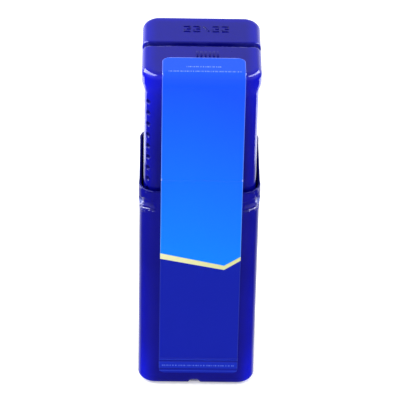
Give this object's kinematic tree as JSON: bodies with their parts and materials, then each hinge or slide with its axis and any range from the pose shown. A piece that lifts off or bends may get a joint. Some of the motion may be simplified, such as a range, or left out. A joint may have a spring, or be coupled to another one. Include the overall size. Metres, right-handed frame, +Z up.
{
  "type": "telescoping storage case",
  "caption": "Square telescoping plastic case: a closed upper sleeve slides in a closed lower sleeve, held by click dents down its corners and sealed by a film label.",
  "frame": {"origin": "middle of the base's rest face", "axes": "+Z up along the sleeves, -Y is the labelled front, +X to the right seen from the front"},
  "size_m": [0.0482, 0.0481, 0.1472],
  "materials": {
    "blue_polyethylene": "glossy, slightly translucent",
    "printed_film": "glossy printed film"
  },
  "bodies": {
    "lower": {"lower_sleeve": "blue_polyethylene", "lower_label": "printed_film"},
    "upper": {"upper_sleeve": "blue_polyethylene", "upper_label": "printed_film"}
  },
  "joints": [
    {"name": "telescope", "type": "slide", "parent": "lower", "child": "upper", "axis": [0, 0, 1], "range_m": [-0.04, 0.05]}
  ]
}
